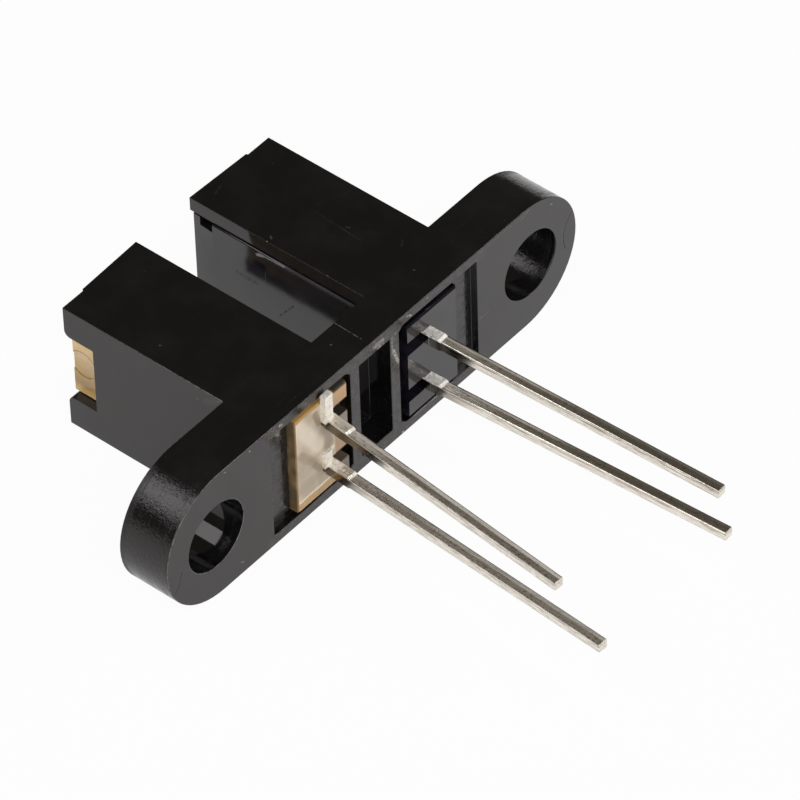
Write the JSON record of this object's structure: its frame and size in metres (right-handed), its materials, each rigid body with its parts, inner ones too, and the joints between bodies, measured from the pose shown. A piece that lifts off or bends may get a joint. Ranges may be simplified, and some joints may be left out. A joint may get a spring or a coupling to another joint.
{
  "type": "slotted optical switch",
  "caption": "Slotted optical switch: black moulded housing with towers either side of a sensing slot, an amber infrared emitter facing a black sensor, screw ears and straight solder leads.",
  "frame": {"origin": "midway between the screw holes, on the flange's seating face, at the middle of the width", "axes": "+X along the flange from the emitter tower to the sensor tower, +Y from the seating face to the tower tips, +Z across the width"},
  "size_m": [0.0248, 0.0256, 0.0064],
  "materials": {
    "housing_plastic": "gloss",
    "amber_epoxy": "gloss",
    "black_epoxy": "gloss",
    "tinned_lead": "satin",
    "chip": "gloss",
    "gold_wire": "gloss"
  },
  "bodies": {
    "root": {"housing": "housing_plastic", "emitter_body": "amber_epoxy", "emitter_pad_lead": "tinned_lead", "emitter_wire_lead": "tinned_lead", "emitter_chip": "chip", "emitter_bond_wire": "gold_wire", "sensor_body": "black_epoxy", "sensor_pad_lead": "tinned_lead", "sensor_wire_lead": "tinned_lead", "sensor_chip": "chip", "sensor_bond_wire": "gold_wire"}
  },
  "joints": []
}
